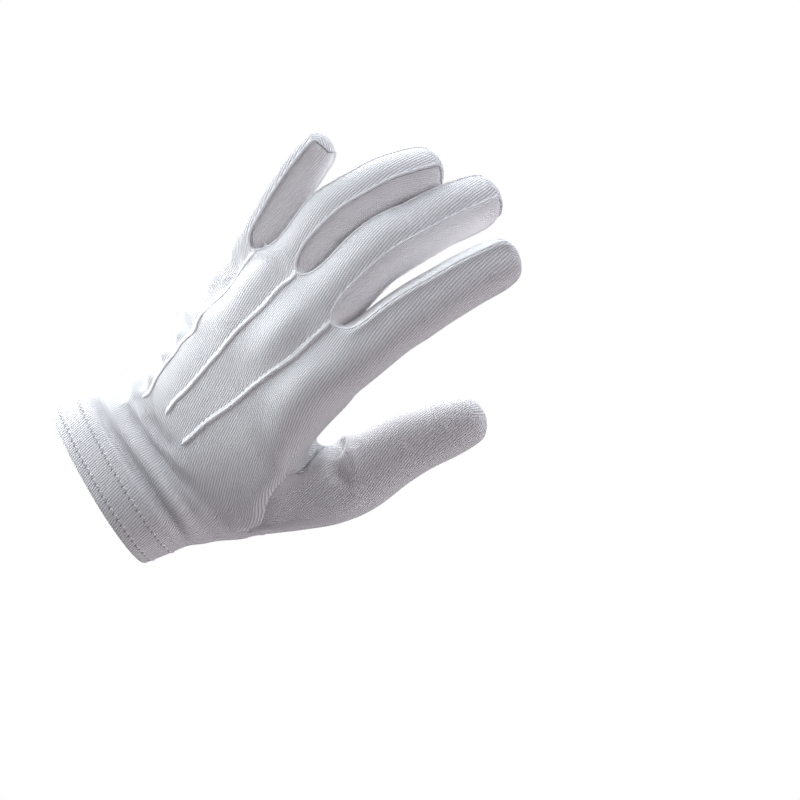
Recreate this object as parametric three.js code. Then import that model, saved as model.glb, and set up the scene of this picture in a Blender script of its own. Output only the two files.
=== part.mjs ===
import * as THREE from "three";

// A dress glove of thin white cotton jersey for the left hand, holding the shape it has when worn.
// Millimetres. The origin is the middle of the cuff's rim, +Z runs to the fingertips,
// +X is the thumb's side, -Y the back of the hand and +Y the palm.

const WALL = 1.2;          // thickness of the cloth
const HEM_WALL = 2.2;      // the hem is the cloth turned in and laid double
const GAP = 0.3;           // between two pieces that are sewn together
const CUFF = 41.4;         // rim to the wrist's crease
const PALM = 73.8;         // wrist's crease to the middle knuckle
const SLEEVE = CUFF + PALM;
const HALF_WIDTH = 40.0;   // of the rim
const HALF_DEPTH = 27.0;
const BREADTH = 85.0;      // across the knuckles
const FINGER_HALF = 11.6;  // half the width of the index finger
const WRIST_BACK = 36.6;   // degrees the hand is bent back at the wrist
const WRIST_SIDE = 3.6;
const WRIST_HALF = 16.0;   // half the length over which the wrist bends
const KNUCKLE_HALF = 8.0;  // the same at a finger joint
const CROTCH_ROW = 24.0;   // the last common row lies this far past the knuckles
const POINT_WIDTH = 1.9;   // the three raised tucks on the back
const POINT_HEIGHT = 1.1;
const POINT_SKIP = [1, 1, 0]; // corners left out at the lower end of each tuck, from the thumb's side

// across, lift: knuckle as shares of BREADTH; drop: below the middle knuckle, of PALM
// reach: length of the finger, of PALM; bones: shares of the reach; spread, roll, bends in degrees
// crotch: where the finger leaves its neighbours, thumb's side and far side, of the reach
// half: half width and half thickness, of FINGER_HALF; turn: degrees a seam lies off its usual place
const FINGERS = [
  { name: "index", across: 0.348, lift: -0.009, drop: 0.085, reach: 1.293, bones: [0.474, 0.268, 0.258],
    spread: 0.0, roll: 1.7, bends: [17.0, 14.3, 10.3], crotch: [0.245, 0.267], half: [1.0, 0.957], turn: {} },
  { name: "middle", across: 0.128, lift: -0.026, drop: 0.005, reach: 1.366, bones: [0.461, 0.284, 0.255],
    spread: -9.4, roll: -1.3, bends: [14.7, 31.3, 9.5], crotch: [0.190, 0.200], half: [1.009, 0.966], turn: {} },
  { name: "ring", across: -0.145, lift: -0.001, drop: 0.012, reach: 1.180, bones: [0.459, 0.276, 0.265],
    spread: -10.7, roll: -13.6, bends: [4.8, 29.4, 18.8], crotch: [0.225, 0.130], half: [0.914, 0.879], turn: {} },
  { name: "little", across: -0.347, lift: 0.039, drop: 0.251, reach: 1.026, bones: [0.454, 0.258, 0.288],
    spread: -11.3, roll: -8.9, bends: [-10.4, 10.7, 7.3], crotch: [0.335, 0.290], half: [0.793, 0.767],
    turn: { 1: -20, 2: -12, 3: -5 } },
];
// along: share of the finger past its crotch; wide, thick: shares of its own halves
const FINGER_SECTIONS = [
  { along: 0.10, wide: 1.00, thick: 1.02 },
  { along: 0.24, wide: 0.97, thick: 0.98 },
  { along: 0.38, wide: 0.99, thick: 1.00 },
  { along: 0.53, wide: 0.95, thick: 0.94 },
  { along: 0.68, wide: 0.93, thick: 0.92 },
  { along: 0.83, wide: 0.90, thick: 0.87 },
  { along: 0.945, wide: 0.74, thick: 0.70 },
];
// at: share of SLEEVE from the rim; thumbward, littleward: half widths, of HALF_WIDTH;
// back, front: of HALF_DEPTH; swell: of the thumb's base, of HALF_DEPTH; fold: in or out on the back, of WALL
const SLEEVE_ROWS = [
  { at: 0.000, thumbward: 0.925, littleward: 1.000, back: 1.000, front: 1.000, swell: 0.000, fold: 0.0 },
  { at: 0.065, thumbward: 0.940, littleward: 0.980, back: 0.970, front: 0.970, swell: 0.025, fold: 0.3 },
  { at: 0.135, thumbward: 0.955, littleward: 0.950, back: 0.930, front: 0.930, swell: 0.055, fold: 0.0 },
  { at: 0.172, thumbward: 0.972, littleward: 0.935, back: 0.905, front: 0.915, swell: 0.085, fold: 0.5 },
  { at: 0.210, thumbward: 0.976, littleward: 0.910, back: 0.870, front: 0.900, swell: 0.135, fold: -1.3 },
  { at: 0.252, thumbward: 0.980, littleward: 0.888, back: 0.833, front: 0.889, swell: 0.205, fold: 0.6 },
  { at: 0.290, thumbward: 0.985, littleward: 0.878, back: 0.810, front: 0.889, swell: 0.270, fold: 1.2 },
  { at: 0.330, thumbward: 0.995, littleward: 0.875, back: 0.795, front: 0.889, swell: 0.370, fold: -0.6 },
  { at: 0.375, thumbward: 1.015, littleward: 0.875, back: 0.775, front: 0.889, swell: 0.460, fold: 0.3 },
  { at: 0.440, thumbward: 1.050, littleward: 0.898, back: 0.735, front: 0.907, swell: 0.520, fold: 0.0 },
  { at: 0.530, thumbward: 1.075, littleward: 0.930, back: 0.685, front: 0.889, swell: 0.390, fold: 0.0 },
  { at: 0.645, thumbward: 1.095, littleward: 0.980, back: 0.648, front: 0.852, swell: 0.240, fold: 0.0 },
  { at: 0.784, thumbward: 1.109, littleward: 1.010, back: 0.611, front: 0.778, swell: 0.130, fold: 0.0 },
  { at: 0.863, thumbward: 1.066, littleward: 1.010, back: 0.593, front: 0.722, swell: 0.000, fold: 0.0 },
];
// at: past the knuckles, of CROTCH_ROW; wide, back, front: of each finger's own halves
const KNUCKLE_ROWS = [
  { at: 0.0, wide: 1.02, back: 1.32, front: 1.62 },
  { at: 0.5, wide: 1.00, back: 1.12, front: 1.34 },
];
// how the base of the thumb swells the rows: shares sideways and palmward by column
const SWELL = { 0: [0.75, 0.70], 19: [0.95, 0.85], 18: [0.75, 0.95], 17: [0.35, 0.70], 16: [0.10, 0.30], 1: [0.35, 0.30], 2: [0.10, 0.05] };
// columns over the back from the thumb's side, at the knuckles and at the wrist, and over the palm, of the half width
const BACK_KNUCKLE = [0.935, 0.72, 0.47, 0.22, -0.03, -0.28, -0.52, -0.75, -0.94];
const BACK_WRIST = [0.90, 0.62, 0.33, 0.15, -0.01, -0.17, -0.35, -0.63, -0.90];
const FRONT_KNUCKLE = [0.94, 0.74, 0.49, 0.24, -0.01, -0.26, -0.51, -0.75, -0.94];
// how far each side of the row of knuckles falls back, across in mm of BREADTH and drop of PALM
const KNUCKLE_LINE = [[-0.53, 0.352], [-0.347, 0.251], [-0.145, 0.020], [0.128, 0.005], [0.348, 0.085], [0.53, 0.190]];
const THUMB = {
  base: [0.331, 0.082, 0.106],   // from the wrist's crease, of BREADTH sideways and palmward and of BREADTH along
  length: 105.9, bones: [0.380, 0.323, 0.297], half: 13.4,
  aside: 43.5, forward: 33.0, bends: [37.4, -11.9],
  opening: { low: 8, high: 12 }, // rows of SLEEVE_ROWS between which it is set in
  // lean: how much further along the web's side of the ring lies
  sections: [
    { along: 0.400, wide: 1.22, thick: 1.17, lean: 0.060 },
    { along: 0.490, wide: 1.12, thick: 1.08, lean: 0.035 },
    { along: 0.585, wide: 1.03, thick: 1.01, lean: 0.010 },
    { along: 0.685, wide: 0.98, thick: 0.97, lean: 0.000 },
    { along: 0.790, wide: 0.90, thick: 0.91, lean: 0.000 },
    { along: 0.890, wide: 0.80, thick: 0.82, lean: 0.000 },
    { along: 0.960, wide: 0.62, thick: 0.63, lean: 0.000 },
  ],
};
const OCTAGON = [[1, 0], [0.72, -0.72], [0, -1], [-0.72, -0.72], [-1, 0], [-0.72, 0.72], [0, 1], [0.72, 0.72]];
const COLUMNS = 20;
const HEM_ROWS = 2;
const CLOTH = { trank: 0xf1f2f5, thumb: 0xeceef2, hem: 0xf4f5f7, fourchette: 0xe6e8ee, point: 0xf6f7f9 };

const vec = (x, y, z) => new THREE.Vector3(x, y, z);
const rad = (degrees) => degrees * Math.PI / 180;
const ease = (x) => { const t = Math.min(1, Math.max(0, x)); return t * t * (3 - 2 * t); };
const mean = (a, b) => a.clone().add(b).multiplyScalar(0.5);
const turned = (m, ...more) => more.reduce((a, b) => a.clone().multiply(b), m);
const aboutX = (d) => new THREE.Matrix4().makeRotationX(rad(d));
const aboutY = (d) => new THREE.Matrix4().makeRotationY(rad(d));
const aboutZ = (d) => new THREE.Matrix4().makeRotationZ(rad(d));
const placed = (frame, x, y, z) => vec(x, y, z).applyMatrix4(frame.turn).add(frame.at);

function interpolate(table, x) {
  let i = 0;
  while (i < table.length - 2 && x > table[i + 1][0]) i++;
  const t = Math.min(1, Math.max(0, (x - table[i][0]) / (table[i + 1][0] - table[i][0])));
  return table[i][1] + (table[i + 1][1] - table[i][1]) * t;
}

// walks along a bent centre line in steps of at most one millimetre
function walk(start, length, turnAt) {
  const at = start.clone();
  for (let done = 0; done < length - 1e-9;) {
    const step = Math.min(1, length - done);
    at.add(vec(0, 0, step).applyMatrix4(turnAt(done + step / 2)));
    done += step;
  }
  return { at, turn: turnAt(length) };
}

function sleeveFrame(distance) {
  const turnAt = (s) => {
    const k = ease((s - CUFF + WRIST_HALF) / (2 * WRIST_HALF));
    return turned(aboutY(WRIST_SIDE * k), aboutX(WRIST_BACK * k));
  };
  return walk(vec(0, 0, 0), distance, turnAt);
}

const HAND = sleeveFrame(CUFF + WRIST_HALF);
const fromCrease = (x, y, z) => placed(HAND, x, y, z - WRIST_HALF);

function fingerFrame(finger, distance) {
  const base = fromCrease(finger.across * BREADTH, finger.lift * BREADTH, PALM * (1 - finger.drop));
  const start = turned(HAND.turn, aboutY(finger.spread), aboutZ(finger.roll));
  const joints = [0, finger.bones[0], finger.bones[0] + finger.bones[1]].map((b) => b * finger.reach * PALM);
  const turnAt = (t) => {
    let bend = finger.bends[0] * ease(t / (2 * KNUCKLE_HALF));
    for (const j of [1, 2]) bend += finger.bends[j] * ease((t - joints[j] + KNUCKLE_HALF) / (2 * KNUCKLE_HALF));
    return turned(start, aboutX(-bend));
  };
  return walk(base, distance, turnAt);
}

function fingerPoint(finger, distance, wide, back, front, k) {
  const frame = fingerFrame(finger, distance);
  const g = rad(finger.turn[k] || 0);
  const [ox, oy] = OCTAGON[k];
  const x = ox * Math.cos(g) - oy * Math.sin(g), y = ox * Math.sin(g) + oy * Math.cos(g);
  return placed(frame, x * wide, y * (y < 0 ? back : front), 0);
}

// the corners of the last common rows, by finger and corner; two names share a corner between two fingers
const ROW_CORNERS = [
  ["index", 0], ["index", 1], ["index", 2], ["index", 3, "middle", 1], ["middle", 2], ["middle", 3, "ring", 1], ["ring", 2],
  ["ring", 3, "little", 1], ["little", 2], ["little", 3], ["little", 4], ["little", 5], ["little", 6], ["little", 7, "ring", 5],
  ["ring", 6], ["ring", 7, "middle", 5], ["middle", 6], ["middle", 7, "index", 5], ["index", 6], ["index", 7],
];
const byName = Object.fromEntries(FINGERS.map((f) => [f.name, f]));

// the coarse net of quads whose smooth surface is the glove
function makeNet() {
  const points = [], faces = [], tags = [];
  const add = (p) => points.push(p) - 1;
  const quad = (a, b, c, d, tag) => { faces.push([a, b, c, d]); tags.push(tag); };
  const halves = (f, share) => [f.half[0] * FINGER_HALF * share[0], f.half[1] * FINGER_HALF * share[1], f.half[1] * FINGER_HALF * share[2]];

  const rows = SLEEVE_ROWS.map((row) => {
    const s = row.at * SLEEVE;
    const frame = sleeveFrame(s);
    const k = ease((s - CUFF - 2) / 70);
    const power = 2.2 + 0.5 * k;
    const back = BACK_WRIST.map((x, i) => x * (1 - k) + BACK_KNUCKLE[i] * k);
    const front = BACK_WRIST.map((x, i) => x * (1 - k) + FRONT_KNUCKLE[i] * k).reverse();
    const bow = (x) => Math.pow(1 - Math.pow(Math.abs(x), power), 1 / power);
    const outline = [[1, 0], ...back.map((x) => [x, -bow(x)]), [-1, 0], ...front.map((x) => [x, bow(x)])];
    return outline.map(([x, y], j) => {
      const wide = HALF_WIDTH * (x > 0 ? row.thumbward : row.littleward) + row.fold * WALL * 0.5;
      const deep = HALF_DEPTH * (y < 0 ? row.back : row.front) + row.fold * WALL * (y < 0 ? 1 : 0.5);
      const [side, palmward] = SWELL[j] || [0, 0];
      const swell = row.swell * HALF_DEPTH;
      const drop = interpolate(KNUCKLE_LINE, x * wide / BREADTH) * PALM * ease((s - 38) / 62);
      return add(placed(frame, x * wide + side * swell, y * deep + palmward * swell, -drop));
    });
  });

  for (const row of KNUCKLE_ROWS) {
    const corner = (name, k) => {
      const f = byName[name];
      return fingerPoint(f, row.at * CROTCH_ROW, ...halves(f, [row.wide, row.back, row.front]), k);
    };
    rows.push(ROW_CORNERS.map(([a, k, b, m]) => add(b ? mean(corner(a, k), corner(b, m)) : corner(a, k))));
  }

  const crotchPoint = (name, k, side) => {
    const f = byName[name];
    return fingerPoint(f, f.crotch[side] * f.reach * PALM, ...halves(f, [1.0, 1.04, 1.12]), k);
  };
  rows.push(ROW_CORNERS.map(([a, k, b, m]) => {
    if (b) return add(k === 3 ? mean(crotchPoint(a, k, 1), crotchPoint(b, m, 0)) : mean(crotchPoint(a, k, 0), crotchPoint(b, m, 1)));
    if (k === 2 || k === 6) return add(mean(crotchPoint(a, k, 0), crotchPoint(a, k, 1)));
    return add(crotchPoint(a, k, a === "index" ? 0 : 1));
  }));
  const webs = [0, 1, 2].map((i) => add(mean(crotchPoint(FINGERS[i].name, 4, 1), crotchPoint(FINGERS[i + 1].name, 0, 0))));

  const { low, high } = THUMB.opening;
  for (let r = 0; r < rows.length - 1; r++) {
    for (let j = 0; j < COLUMNS; j++) {
      const k = (j + 1) % COLUMNS;
      if (r >= low && r < high && j >= COLUMNS - 2) continue;
      quad(rows[r][k], rows[r][j], rows[r + 1][j], rows[r + 1][k], r < HEM_ROWS ? "hem" : "trank");
    }
  }

  const top = rows[rows.length - 1];
  const firstRings = [
    [top[0], top[1], top[2], top[3], webs[0], top[17], top[18], top[19]],
    [webs[0], top[3], top[4], top[5], webs[1], top[15], top[16], top[17]],
    [webs[1], top[5], top[6], top[7], webs[2], top[13], top[14], top[15]],
    [webs[2], top[7], top[8], top[9], top[10], top[11], top[12], top[13]],
  ];
  FINGERS.forEach((f, i) => {
    const total = f.reach * PALM;
    const rings = [firstRings[i]];
    for (const sec of FINGER_SECTIONS) {
      const size = halves(f, [sec.wide, sec.thick, sec.thick]);
      rings.push(OCTAGON.map(([x], k) => {
        const from = total * (f.crotch[0] * (1 + x) + f.crotch[1] * (1 - x)) / 2;
        return add(fingerPoint(f, from + (total - from) * sec.along, ...size, k));
      }));
    }
    const tip = add(fingerFrame(f, total).at);
    for (let r = 0; r < rings.length - 1; r++) {
      for (let k = 0; k < 8; k++) {
        const m = (k + 1) % 8;
        let tag = "trank";
        if ((k === 7 || k === 0) && i > 0) tag = `fourchette_${FINGERS[i - 1].name}_${f.name}`;
        if ((k === 3 || k === 4) && i < 3) tag = `fourchette_${f.name}_${FINGERS[i + 1].name}`;
        quad(rings[r][m], rings[r][k], rings[r + 1][k], rings[r + 1][m], tag);
      }
    }
    const last = rings[rings.length - 1];
    for (let k = 0; k < 8; k += 2) quad(last[k + 1], last[k], last[(k + 7) % 8], tip, "trank");
  });

  addThumb(rows, points, add, quad);
  return { ...compact(points, faces), tags, lines: [3, 5, 7].map((j) => rows.slice(low).map((row) => row[j])) };
}

// the thumb grows from an opening left in the side of the rows
function addThumb(rows, points, add, quad) {
  const { low, high } = THUMB.opening;
  const base = fromCrease(...THUMB.base.map((share) => share * BREADTH));
  const a = rad(THUMB.aside), b = rad(THUMB.forward);
  const along = vec(Math.sin(a) * Math.cos(b), Math.sin(b), Math.cos(a) * Math.cos(b)).applyMatrix4(HAND.turn);
  const web = vec(-Math.cos(a), 0, Math.sin(a)).applyMatrix4(HAND.turn);
  web.addScaledVector(along, -web.dot(along)).normalize();
  const backward = along.clone().cross(web);
  const start = new THREE.Matrix4().makeBasis(web, backward, along);
  const joints = [THUMB.bones[0], THUMB.bones[0] + THUMB.bones[1]].map((s) => s * THUMB.length);
  const turnAt = (t) => turned(start, aboutY(THUMB.bends.reduce((sum, bend, j) => sum + bend * ease((t - joints[j] + 9) / 18), 0)));
  const inner = [];
  for (let r = high - 1; r > low; r--) inner.push(rows[r][COLUMNS - 2]);
  const hole = [rows[high][COLUMNS - 1], rows[high][COLUMNS - 2], ...inner, rows[low][COLUMNS - 2], rows[low][COLUMNS - 1], rows[low][0]];
  for (let r = low + 1; r <= high; r++) hole.push(rows[r][0]);
  const count = hole.length;
  const rings = [hole];
  for (const sec of THUMB.sections) {
    rings.push(hole.map((_, k) => {
      const angle = 2 * Math.PI * k / count;
      const frame = walk(base, (sec.along + sec.lean * Math.cos(angle)) * THUMB.length, turnAt);
      return add(placed(frame, Math.cos(angle) * sec.wide * THUMB.half, -Math.sin(angle) * sec.thick * THUMB.half, 0));
    }));
  }
  const tip = add(walk(base, THUMB.length, turnAt).at);
  for (let r = 0; r < rings.length - 1; r++) {
    for (let k = 0; k < count; k++) {
      const m = (k + 1) % count;
      quad(rings[r][m], rings[r][k], rings[r + 1][k], rings[r + 1][m], "thumb");
    }
  }
  const last = rings[rings.length - 1];
  for (let k = 0; k < count; k += 2) quad(last[(k + 1) % count], last[k], last[(k + count - 1) % count], tip, "thumb");
}

// corners that no face uses are marked, so that sums over faces leave them alone
function compact(points, faces) {
  const used = new Set(faces.flat());
  return { points: points.map((p, i) => (used.has(i) ? p : null)), faces };
}

function edgesOf(faces) {
  const edges = new Map();
  faces.forEach((face, f) => face.forEach((a, i) => {
    const b = face[(i + 1) % 4];
    const key = Math.min(a, b) * 1e6 + Math.max(a, b);
    if (!edges.has(key)) edges.set(key, { a: Math.min(a, b), b: Math.max(a, b), faces: [], index: edges.size });
    edges.get(key).faces.push(f);
  }));
  return edges;
}

// sums over the neighbours of every corner
function around(points, faces, edges) {
  const zero = () => points.map(() => vec(0, 0, 0));
  const sums = { valence: points.map(() => 0), near: zero(), far: zero(), rim: zero(), onRim: points.map(() => false) };
  for (const { a, b, faces: list } of edges.values()) {
    sums.valence[a]++; sums.valence[b]++;
    sums.near[a].add(points[b]); sums.near[b].add(points[a]);
    if (list.length === 1) {
      sums.rim[a].add(points[b]); sums.rim[b].add(points[a]);
      sums.onRim[a] = sums.onRim[b] = true;
    }
  }
  for (const face of faces) face.forEach((v, i) => sums.far[v].add(points[face[(i + 2) % 4]]));
  return sums;
}

// where each corner ends up on the smooth surface
function limits(points, faces, edges) {
  const sums = around(points, faces, edges);
  return points.map((p, i) => {
    if (!p) return null;
    if (sums.onRim[i]) return p.clone().multiplyScalar(4).add(sums.rim[i]).divideScalar(6);
    const n = sums.valence[i];
    return p.clone().multiplyScalar(n * n).addScaledVector(sums.near[i], 4).add(sums.far[i]).divideScalar(n * (n + 5));
  });
}

// moves the net outwards until its smooth surface passes through the wanted corners
function fitted(points, faces) {
  const edges = edgesOf(faces);
  let net = points.map((p) => p && p.clone());
  for (let pass = 0; pass < 3; pass++) {
    const reached = limits(net, faces, edges);
    net = net.map((p, i) => p && p.clone().add(points[i]).sub(reached[i]));
  }
  return net;
}

// one step of smoothing: every quad becomes four
function subdivided(points, faces, tags, lines) {
  const edges = edgesOf(faces);
  const count = points.length;
  const centres = faces.map((f) => f.reduce((s, i) => s.add(points[i]), vec(0, 0, 0)).multiplyScalar(0.25));
  const zero = () => points.map(() => vec(0, 0, 0));
  const faceSum = zero(), faceCount = points.map(() => 0), middleSum = zero(), valence = points.map(() => 0);
  faces.forEach((f, i) => f.forEach((v) => { faceSum[v].add(centres[i]); faceCount[v]++; }));
  const rimSum = zero(), onRim = points.map(() => false);
  const middles = [];
  for (const { a, b, faces: list } of edges.values()) {
    const middle = mean(points[a], points[b]);
    for (const v of [a, b]) { middleSum[v].add(middle); valence[v]++; }
    if (list.length === 1) {
      rimSum[a].add(points[b]); rimSum[b].add(points[a]); onRim[a] = onRim[b] = true;
      middles.push(middle);
    } else {
      middles.push(points[a].clone().add(points[b]).add(centres[list[0]]).add(centres[list[1]]).multiplyScalar(0.25));
    }
  }
  const moved = points.map((p, i) => {
    if (!p) return null;
    if (onRim[i]) return p.clone().multiplyScalar(6).add(rimSum[i]).divideScalar(8);
    const n = valence[i];
    return faceSum[i].clone().divideScalar(faceCount[i]).addScaledVector(middleSum[i], 2 / n).addScaledVector(p, n - 3).divideScalar(n);
  });
  const edgeIndex = (a, b) => count + edges.get(Math.min(a, b) * 1e6 + Math.max(a, b)).index;
  const newFaces = [], newTags = [];
  faces.forEach((f, i) => f.forEach((v, c) => {
    newFaces.push([v, edgeIndex(v, f[(c + 1) % 4]), count + edges.size + i, edgeIndex(f[(c + 3) % 4], v)]);
    newTags.push(tags[i]);
  }));
  const newLines = lines.map((line) => line.flatMap((v, i) => (i ? [edgeIndex(line[i - 1], v), v] : [v])));
  return { points: [...moved, ...middles, ...centres], faces: newFaces, tags: newTags, lines: newLines };
}

function normalsOf(points, faces) {
  const normals = points.map(() => vec(0, 0, 0));
  for (const f of faces) {
    const n = points[f[2]].clone().sub(points[f[0]]).cross(points[f[3]].clone().sub(points[f[1]]));
    for (const v of f) normals[v].add(n);
  }
  return normals.map((n) => n.normalize());
}

// the faces of one piece as a closed sheet of cloth, drawn back from its seams by half the gap
function sheet(surface, tag, wall) {
  const { points, faces, tags, normals } = surface;
  const own = faces.filter((_, i) => tags[i] === tag);
  const border = [...edgesOf(own).values()].filter((e) => e.faces.length === 1);
  const seam = new Map([...new Set(own.flat())].map((v) => [v, vec(0, 0, 0)]));
  for (const v of new Set(border.flatMap((e) => [e.a, e.b]))) {
    const sides = [vec(0, 0, 0), vec(0, 0, 0)];
    for (const i of surface.facesAt[v]) {
      const centre = faces[i].reduce((s, k) => s.add(points[k]), vec(0, 0, 0)).multiplyScalar(0.25);
      sides[tags[i] === tag ? 0 : 1].add(centre.sub(points[v]).normalize());
    }
    if (sides[1].lengthSq() < 1e-9) continue;
    const away = sides[0].normalize().sub(sides[1].normalize());
    seam.set(v, away.addScaledVector(normals[v], -away.dot(normals[v])).normalize());
  }
  const index = new Map(), coords = [];
  for (const side of [0, 1]) {
    for (const [v, inward] of seam) {
      const p = points[v].clone().addScaledVector(inward, GAP / 2).addScaledVector(normals[v], -wall * side);
      index.set(v * 2 + side, coords.length / 3);
      coords.push(p.x, p.y, p.z);
    }
  }
  const at = (v, side) => index.get(v * 2 + side);
  const triangles = [];
  for (const [a, b, c, d] of own) {
    triangles.push(at(a, 0), at(b, 0), at(c, 0), at(a, 0), at(c, 0), at(d, 0));
    triangles.push(at(a, 1), at(c, 1), at(b, 1), at(a, 1), at(d, 1), at(c, 1));
  }
  for (const e of border) {
    const f = own[e.faces[0]];
    if (f[(f.indexOf(e.a) + 1) % 4] === e.b) {
      triangles.push(at(e.a, 0), at(e.a, 1), at(e.b, 1), at(e.a, 0), at(e.b, 1), at(e.b, 0));
    } else {
      triangles.push(at(e.b, 0), at(e.b, 1), at(e.a, 0), at(e.b, 1), at(e.a, 1), at(e.a, 0));
    }
  }
  return { coords, triangles };
}

// a raised tuck: a low rounded ridge that follows a line of corners and thins out at both ends
function ridge(surface, line) {
  const { points, normals } = surface;
  const profile = [[-0.5, 0], [-0.42, 0.55], [-0.16, 0.97], [0.16, 0.97], [0.42, 0.55], [0.5, 0]];
  const coords = [], triangles = [];
  const last = line.length - 1;
  line.forEach((v, i) => {
    const along = points[line[Math.min(i + 1, last)]].clone().sub(points[line[Math.max(i - 1, 0)]]).normalize();
    const up = normals[v].clone();
    const across = along.clone().cross(up).normalize();
    const size = i === 0 || i === last ? 0.7 : 1;
    for (const [x, y] of profile) {
      const p = points[v].clone().addScaledVector(across, x * POINT_WIDTH * size)
        .addScaledVector(up, GAP + y * POINT_HEIGHT * size);
      coords.push(p.x, p.y, p.z);
    }
  });
  const n = profile.length;
  for (let i = 0; i < last; i++) {
    for (let k = 0; k < n; k++) {
      const m = (k + 1) % n, a = i * n, b = (i + 1) * n;
      triangles.push(a + k, b + m, b + k, a + k, a + m, b + m);
    }
  }
  for (let k = 1; k < n - 1; k++) {
    triangles.push(0, k + 1, k);
    triangles.push(last * n, last * n + k, last * n + k + 1);
  }
  return { coords, triangles };
}

function mesh(name, { coords, triangles }, color) {
  const geometry = new THREE.BufferGeometry();
  geometry.setAttribute("position", new THREE.Float32BufferAttribute(coords, 3));
  geometry.setIndex(triangles);
  geometry.computeVertexNormals();
  const result = new THREE.Mesh(geometry, new THREE.MeshStandardMaterial({ color, roughness: 0.95, metalness: 0 }));
  result.name = name;
  return result;
}

const net = makeNet();
const cage = fitted(net.points, net.faces);
const surface = subdivided(cage, net.faces, net.tags, net.lines);
surface.points = limits(surface.points, surface.faces, edgesOf(surface.faces));
surface.normals = normalsOf(surface.points, surface.faces);
surface.facesAt = surface.points.map(() => []);
surface.faces.forEach((face, i) => face.forEach((v) => surface.facesAt[v].push(i)));

const glove = new THREE.Group();
glove.name = "parade_glove";
for (const tag of [...new Set(surface.tags)]) {
  const wall = tag === "hem" ? HEM_WALL : WALL;
  glove.add(mesh(tag, sheet(surface, tag, wall), CLOTH[tag.split("_")[0]]));
}
surface.lines.forEach((line, i) => {
  const name = `point_${["index_middle", "middle_ring", "ring_little"][i]}`;
  glove.add(mesh(name, ridge(surface, line.slice(POINT_SKIP[i], -1)), CLOTH.point));
});

export default glove;
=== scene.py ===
from math import cos, pi, radians, sin

import bmesh
import bpy
import numpy as np
from mathutils import Matrix, Vector, noise
from mathutils.bvhtree import BVHTree
from mathutils.kdtree import KDTree


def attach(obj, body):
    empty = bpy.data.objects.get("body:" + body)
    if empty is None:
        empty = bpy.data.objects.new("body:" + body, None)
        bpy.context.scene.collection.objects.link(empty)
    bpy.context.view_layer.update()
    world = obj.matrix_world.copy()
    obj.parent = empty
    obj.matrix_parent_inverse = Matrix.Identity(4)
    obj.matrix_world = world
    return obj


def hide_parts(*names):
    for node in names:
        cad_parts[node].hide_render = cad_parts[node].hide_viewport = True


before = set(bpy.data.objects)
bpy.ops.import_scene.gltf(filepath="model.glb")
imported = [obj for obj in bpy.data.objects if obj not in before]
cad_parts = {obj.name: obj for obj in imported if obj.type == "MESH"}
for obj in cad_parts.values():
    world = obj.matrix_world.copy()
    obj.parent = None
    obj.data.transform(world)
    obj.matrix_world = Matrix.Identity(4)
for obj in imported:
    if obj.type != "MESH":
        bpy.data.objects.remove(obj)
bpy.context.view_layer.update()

# Camera
# It looks at the back of the hand from the cuff's side, rolled so that the fingers reach to the right.
# Lengths in this file are metres, and those written in millimetres are multiplied by MM.
MM = 0.001
LOOKS_AT = Vector((0, 0, 125 * MM))
CAMERA_TURN = radians(23.06)
CAMERA_RISE = radians(-3.07)
CAMERA_ROLL = radians(58.02)
CAMERA_DISTANCE = 618.7 * MM
CAMERA_ASIDE = -17.0 * MM
CAMERA_UP = 30.4 * MM
LENS = 67.5
SENSOR = 36.0


def add_object(name, data):
    made = bpy.data.objects.new(name, data)
    bpy.context.scene.collection.objects.link(made)
    return made


flat = cos(CAMERA_RISE)
backward = Vector((sin(CAMERA_TURN) * flat, -cos(CAMERA_TURN) * flat, sin(CAMERA_RISE)))
level = Vector((cos(CAMERA_TURN), sin(CAMERA_TURN), 0))
upright = backward.cross(level)
view_right = level * cos(CAMERA_ROLL) + upright * sin(CAMERA_ROLL)
view_up = upright * cos(CAMERA_ROLL) - level * sin(CAMERA_ROLL)
camera = add_object("camera", bpy.data.cameras.new("camera"))
camera.data.lens = LENS
camera.data.sensor_width = SENSOR
camera_place = LOOKS_AT + backward * CAMERA_DISTANCE - view_right * CAMERA_ASIDE - view_up * CAMERA_UP
camera_turn = Matrix((view_right, view_up, backward)).transposed().to_4x4()
camera.matrix_world = Matrix.Translation(camera_place) @ camera_turn
bpy.context.scene.camera = camera

# Trank
# The main piece is one sheet of fine cotton jersey: the back, the palm and both faces of the fingers. The
# knit's ribs run from the cuff to the fingertips. All pieces are cut from one smooth surface, so they meet.
CUFF = 41.4 * MM
PALM = 73.8 * MM
SLEEVE = CUFF + PALM
HALF_WIDTH = 40.0 * MM
HALF_DEPTH = 27.0 * MM
BREADTH = 85.0 * MM
FINGER_HALF = 11.6 * MM
WRIST_BACK = 36.6
WRIST_SIDE = 3.6
WRIST_HALF = 16.0 * MM
KNUCKLE_HALF = 8.0 * MM
CROTCH_ROW = 24.0 * MM
WALL = 1.2 * MM
HEM_WALL = 2.2 * MM
COLUMNS = 20
HEM_ROWS = 2

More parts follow.
